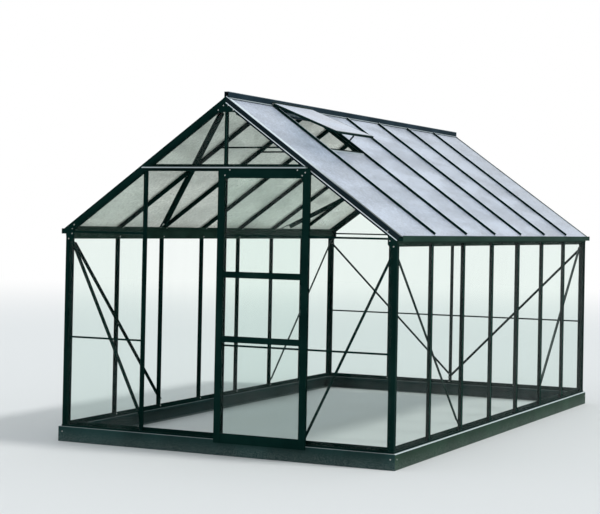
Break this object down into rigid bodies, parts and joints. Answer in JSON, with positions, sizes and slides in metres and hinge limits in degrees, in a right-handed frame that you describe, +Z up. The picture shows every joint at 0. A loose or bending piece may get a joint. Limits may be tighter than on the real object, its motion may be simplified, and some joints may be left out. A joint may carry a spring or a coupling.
{
  "type": "glass greenhouse",
  "caption": "Apex-roofed glass greenhouse on a steel plinth: dark green bars, gutters, a gable door slid open on a hooded track and one roof vent propped open.",
  "frame": {"origin": "middle of the footprint at the underside of the plinth", "axes": "+Y along the ridge, from the gable with the door to the rear gable; +X to the right as one faces the door; +Z up"},
  "size_m": [2.61, 4.469, 2.4427],
  "materials": {
    "green_frame": "dark bottle-green powder coat, low gloss, on extruded aluminium",
    "green_plinth": "bottle-green powder coat on folded galvanised steel, dusty",
    "glass": "clear 3 mm horticultural glass, slightly dusty on the roof",
    "rollers": "dark grey, satin, wheels and hangers"
  },
  "bodies": {
    "greenhouse": {"corner_posts": "green_frame", "right_wall_bars": "green_frame", "left_wall_bars": "green_frame", "front_gable_bars": "green_frame", "rear_gable_bars": "green_frame", "door_posts": "green_frame", "door_track": "green_frame", "gutter_right": "green_frame", "gutter_left": "green_frame", "ridge_bar": "green_frame", "right_roof_bars": "green_frame", "left_roof_bars": "green_frame", "rafter_front_right": "green_frame", "rafter_front_left": "green_frame", "rafter_rear_right": "green_frame", "rafter_rear_left": "green_frame", "sill_front": "green_frame", "sill_rear": "green_frame", "sill_left": "green_frame", "sill_right": "green_frame", "apex_plates": "green_frame", "eave_plates": "green_frame", "side_wall_braces": "green_frame", "gable_braces": "green_frame", "roof_braces": "green_frame", "glazing_strips": "green_frame", "vent_sill": "green_frame", "vent_frame": "green_frame", "vent_stay": "green_frame", "roof_ties": "green_frame", "plinth_front": "green_plinth", "plinth_rear": "green_plinth", "plinth_left": "green_plinth", "plinth_right": "green_plinth", "plinth_corner_brackets": "green_plinth", "right_wall_glass": "glass", "left_wall_glass": "glass", "front_gable_glass": "glass", "rear_gable_glass": "glass", "vent_glass": "glass", "right_roof_glass": "glass", "left_roof_glass": "glass"},
    "door": {"door_left_stile": "green_frame", "door_right_stile": "green_frame", "door_header": "green_frame", "door_mid_rails": "green_frame", "door_bottom_rail": "green_frame", "door_glass": "glass", "door_rollers": "rollers"}
  },
  "joints": [
    {"name": "door_slide", "type": "slide", "parent": "greenhouse", "child": "door", "axis": [-1, 0, 0], "range_m": [0, 0.624]}
  ]
}
